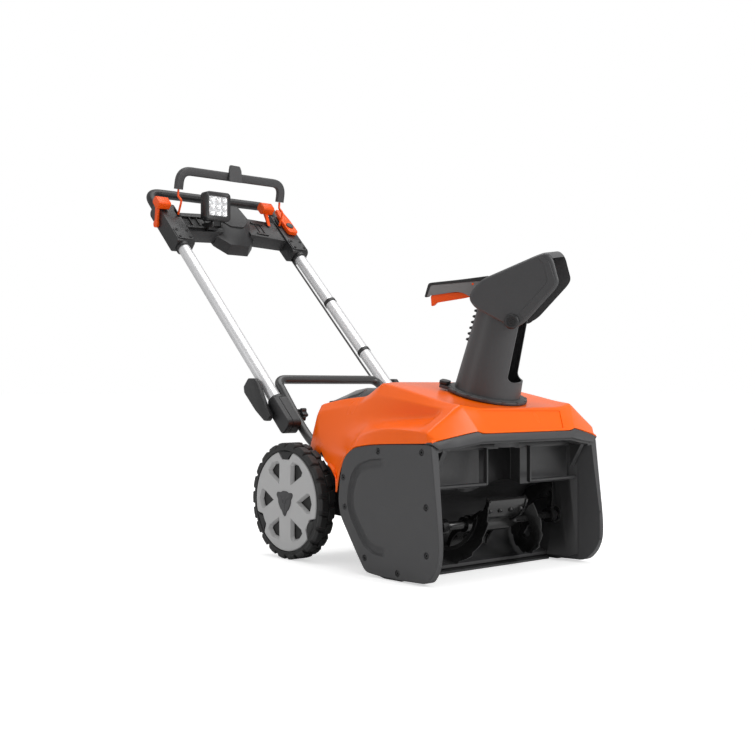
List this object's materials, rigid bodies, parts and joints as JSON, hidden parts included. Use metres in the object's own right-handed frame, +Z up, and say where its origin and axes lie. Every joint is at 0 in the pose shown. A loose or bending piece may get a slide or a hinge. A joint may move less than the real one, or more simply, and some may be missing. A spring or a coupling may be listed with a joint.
{
  "type": "snow blower",
  "caption": "Single-stage battery snow blower: wide intake with rotor, turning discharge chute with tilting deflector, two wheels and a folding bar handle with work light.",
  "frame": {"origin": "bottom centre of the bounding box, on the ground plane", "axes": "+Z up, intake faces -Y, handle towards +Y, +X is the left side seen by the operator"},
  "size_m": [0.564, 1.4307, 1.106],
  "materials": {
    "orange_hood": "glossy moulded orange",
    "orange_trim": "satin orange control parts",
    "dark_grey_plastic": "fine-textured dark grey",
    "black_plastic": "black moulded",
    "grip_grey": "mid grey moulded",
    "smoked_lid": "dark smoked gloss",
    "rubber": "black rubber",
    "wheel_black": "black tread",
    "silver_cover": "silver painted plastic",
    "tube_aluminium": "satin anodised",
    "steel": "machined",
    "black_steel": "black powder coat",
    "lens": "clear lens"
  },
  "bodies": {
    "body": {"hood": "orange_hood", "fascia": "dark_grey_plastic", "auger_housing": "dark_grey_plastic", "side_plate_left": "dark_grey_plastic", "side_plate_right": "dark_grey_plastic", "scraper_bar": "black_steel", "skid_left": "black_plastic", "skid_right": "black_plastic", "chassis": "black_plastic", "wheel_axle": "steel", "motor": "steel", "motor_controller": "black_plastic", "drive_belt": "rubber", "auger_bearing_left": "steel", "auger_bearing_right": "steel", "lower_handle_bar": "black_steel", "chute_base": "dark_grey_plastic"},
    "wheel_left": {"wheel_left": "wheel_black", "wheel_cover_left": "silver_cover", "hub_cap_left": "dark_grey_plastic"},
    "wheel_right": {"wheel_right": "wheel_black", "wheel_cover_right": "silver_cover", "hub_cap_right": "dark_grey_plastic"},
    "auger": {"auger_shaft": "steel", "auger_paddle": "rubber", "auger_flight_left": "rubber", "auger_flight_right": "rubber", "auger_pulley": "steel"},
    "motor_rotor": {"motor_pulley": "steel"},
    "lid": {"battery_lid": "smoked_lid"},
    "battery_left": {"battery_left": "black_plastic"},
    "battery_right": {"battery_right": "black_plastic"},
    "handle": {"handle_tube_left": "tube_aluminium", "handle_tube_right": "tube_aluminium", "clamp_block_left": "black_plastic", "clamp_block_right": "black_plastic", "console": "black_plastic", "handlebar": "black_plastic", "light_bracket": "black_plastic", "control_cable": "rubber"},
    "cam_lever_left": {"cam_lever_left": "black_plastic"},
    "cam_lever_right": {"cam_lever_right": "black_plastic"},
    "star_knob_left": {"star_knob_left": "black_plastic"},
    "star_knob_right": {"star_knob_right": "black_plastic"},
    "bail": {"bail": "dark_grey_plastic", "bail_rod_left": "orange_trim", "bail_rod_right": "orange_trim"},
    "light": {"light_housing": "black_plastic", "light_lens": "lens"},
    "drive_lever": {"drive_lever": "orange_trim"},
    "speed_lever": {"speed_lever": "orange_trim"},
    "start_lever": {"start_lever": "orange_trim"},
    "start_button": {"start_button": "dark_grey_plastic"},
    "chute": {"chute_tube": "dark_grey_plastic", "chute_latch": "black_plastic"},
    "deflector": {"deflector": "dark_grey_plastic", "pivot_bolt_left": "black_plastic", "pivot_bolt_right": "black_plastic", "chute_grip": "grip_grey"},
    "trigger": {"chute_trigger": "orange_trim"}
  },
  "joints": [
    {"name": "wheel_left_spin", "type": "hinge", "parent": "body", "child": "wheel_left", "pos_m": [0.2435, -0.05555, 0.1456], "axis": [1, 0, 0], "continuous": true},
    {"name": "wheel_right_spin", "type": "hinge", "parent": "body", "child": "wheel_right", "pos_m": [-0.2435, -0.05555, 0.1456], "axis": [1, 0, 0], "continuous": true},
    {"name": "auger_spin", "type": "hinge", "parent": "body", "child": "auger", "pos_m": [0, -0.49355, 0.112], "axis": [1, 0, 0], "continuous": true},
    {"name": "motor_spin", "type": "hinge", "parent": "body", "child": "motor_rotor", "pos_m": [0.259, -0.36555, 0.214], "axis": [1, 0, 0], "continuous": true},
    {"name": "lid_hinge", "type": "hinge", "parent": "body", "child": "lid", "pos_m": [0, -0.24155, 0.432], "axis": [1, 0, 0], "range_deg": [0, 95]},
    {"name": "battery_left_lift", "type": "slide", "parent": "body", "child": "battery_left", "axis": [0, 0, 1], "range_m": [0, 0.01]},
    {"name": "battery_right_lift", "type": "slide", "parent": "body", "child": "battery_right", "axis": [0, 0, 1], "range_m": [0, 0.01]},
    {"name": "handle_fold", "type": "hinge", "parent": "body", "child": "handle", "pos_m": [0, 0.02345, 0.359], "axis": [1, 0, 0], "range_deg": [0, 70]},
    {"name": "cam_left", "type": "hinge", "parent": "handle", "child": "cam_lever_left", "pos_m": [0.248, 0.04025, 0.35019], "axis": [0, 0.6934, -0.7206], "range_deg": [0, 95]},
    {"name": "cam_right", "type": "hinge", "parent": "handle", "child": "cam_lever_right", "pos_m": [-0.248, 0.04025, 0.35019], "axis": [0, -0.6934, 0.7206], "range_deg": [0, 95]},
    {"name": "knob_left_turn", "type": "hinge", "parent": "body", "child": "star_knob_left", "pos_m": [0.155, 0.02345, 0.359], "axis": [1, 0, 0], "continuous": true},
    {"name": "knob_right_turn", "type": "hinge", "parent": "body", "child": "star_knob_right", "pos_m": [-0.155, 0.02345, 0.359], "axis": [1, 0, 0], "continuous": true},
    {"name": "bail_squeeze", "type": "hinge", "parent": "handle", "child": "bail", "pos_m": [0, 0.59245, 0.93], "axis": [-1, 0, 0], "range_deg": [0, 32], "stiffness_Nm_per_rad": 2, "springref_deg": -22.92},
    {"name": "light_tilt", "type": "hinge", "parent": "handle", "child": "light", "pos_m": [-0.094, 0.52645, 0.915], "axis": [1, 0, 0], "range_deg": [-7, 15]},
    {"name": "drive_lever_turn", "type": "hinge", "parent": "handle", "child": "drive_lever", "pos_m": [-0.242, 0.61825, 0.91195], "axis": [1, 0, 0], "range_deg": [0, 35]},
    {"name": "speed_lever_turn", "type": "hinge", "parent": "handle", "child": "speed_lever", "pos_m": [0.144, 0.59467, 0.93645], "axis": [1, 0, 0], "range_deg": [0, 20]},
    {"name": "start_lever_lift", "type": "hinge", "parent": "handle", "child": "start_lever", "pos_m": [0.214, 0.55747, 0.91454], "axis": [1, 0, 0], "range_deg": [0, 22], "stiffness_Nm_per_rad": 0.6, "springref_deg": -28.65},
    {"name": "start_button_press", "type": "slide", "parent": "start_lever", "child": "start_button", "axis": [0, 0.6934, -0.7206], "range_m": [0, 0.0022], "stiffness_N_per_m": 300, "springref_m": -0.001},
    {"name": "chute_turn", "type": "hinge", "parent": "body", "child": "chute", "pos_m": [0, -0.49155, 0.411], "axis": [0, -0.2588, 0.9659], "range_deg": [-125, 65]},
    {"name": "deflector_tilt", "type": "hinge", "parent": "chute", "child": "deflector", "pos_m": [0.021, -0.57664, 0.58801], "axis": [0.866, 0.483, 0.1294], "range_deg": [-8, 35]},
    {"name": "chute_trigger_squeeze", "type": "hinge", "parent": "deflector", "child": "trigger", "pos_m": [-0.04, -0.48235, 0.64433], "axis": [0.866, 0.483, 0.1294], "range_deg": [0, 3], "stiffness_Nm_per_rad": 2, "springref_deg": -5.73}
  ],
  "couplings": [
    {"joint": "motor_spin", "follows": "auger_spin", "ratio": 2.625}
  ]
}
